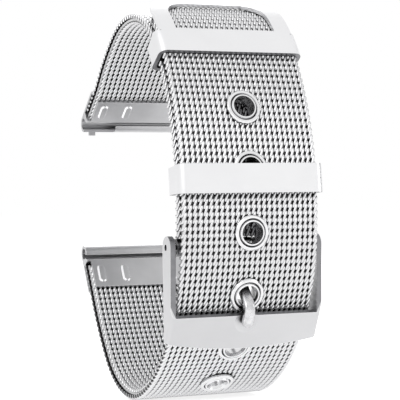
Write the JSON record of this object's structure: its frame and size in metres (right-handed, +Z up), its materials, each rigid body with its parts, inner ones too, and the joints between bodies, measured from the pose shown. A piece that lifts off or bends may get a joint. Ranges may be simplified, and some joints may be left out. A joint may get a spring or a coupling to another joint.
{
  "type": "watch band",
  "caption": "Woven steel mesh watch band in two overlapping layers, closed by a pin buckle, with rolled eyelets, a sliding keeper and a windowed tip clip.",
  "frame": {"origin": "centre of the spring bar bore in the upper watch end, on the band's middle plane", "axes": "X across the band along the spring bars, Z up along the loop's height, Y back: the buckle side of the loop faces -Y"},
  "size_m": [0.024, 0.0496, 0.0623],
  "materials": {
    "woven_steel": "woven, bright",
    "brushed_fittings": "fine satin",
    "polished_fittings": "polished",
    "satin_fittings": "satin"
  },
  "bodies": {
    "upper_leg": {"short_end_roll": "satin_fittings", "short_end_clamp": "satin_fittings", "short_mesh_leg": "woven_steel"},
    "front": {"short_mesh_front": "woven_steel", "long_mesh_front": "woven_steel", "pivot_tube_left": "satin_fittings", "pivot_tube_right": "satin_fittings", "spring_bar_tube": "satin_fittings", "spring_bar_spring": "satin_fittings", "tip_clip": "brushed_fittings", "eyelet_1": "polished_fittings", "eyelet_2": "polished_fittings", "eyelet_3": "polished_fittings", "eyelet_4": "polished_fittings", "eyelet_5": "polished_fittings", "eyelet_6": "polished_fittings"},
    "pin_left": {"spring_bar_pin_left": "satin_fittings"},
    "pin_right": {"spring_bar_pin_right": "satin_fittings"},
    "keeper": {"keeper": "brushed_fittings"},
    "frame": {"buckle_frame": "brushed_fittings"},
    "tongue": {"buckle_tongue": "polished_fittings"},
    "lower_leg": {"long_mesh_leg": "woven_steel", "long_end_roll": "satin_fittings", "long_end_clamp": "satin_fittings"}
  },
  "joints": [
    {"name": "upper_flex", "type": "hinge", "parent": "upper_leg", "child": "front", "pos_m": [0, -0.02005, 0.01453], "axis": [1, 0, 0], "range_deg": [-60, 25]},
    {"name": "lower_flex", "type": "hinge", "parent": "front", "child": "lower_leg", "pos_m": [0, -0.01973, -0.04371], "axis": [1, 0, 0], "range_deg": [-60, 25]},
    {"name": "keeper_slide", "type": "hinge", "parent": "front", "child": "keeper", "pos_m": [0, -0.00308, -0.01449], "axis": [1, 0, 0], "range_deg": [-22.5, 7]},
    {"name": "frame_swing", "type": "hinge", "parent": "front", "child": "frame", "pos_m": [0, -0.04267, -0.0202], "axis": [1, 0, 0], "range_deg": [-3, 0.8]},
    {"name": "tongue_swing", "type": "hinge", "parent": "front", "child": "tongue", "pos_m": [0, -0.04267, -0.0202], "axis": [1, 0, 0], "range_deg": [-3, 0.8]},
    {"name": "pin_left_press", "type": "slide", "parent": "front", "child": "pin_left", "axis": [1, 0, 0], "range_m": [0, 0.001], "stiffness_N_per_m": 400, "springref_m": -0.0015, "deforming": ["spring_bar_spring"]},
    {"name": "pin_right_press", "type": "slide", "parent": "front", "child": "pin_right", "axis": [-1, 0, 0], "range_m": [0, 0.001], "stiffness_N_per_m": 400, "springref_m": -0.0015, "deforming": ["spring_bar_spring"]}
  ],
  "couplings": [
    {"joint": "tongue_swing", "follows": "frame_swing", "ratio": 1}
  ]
}
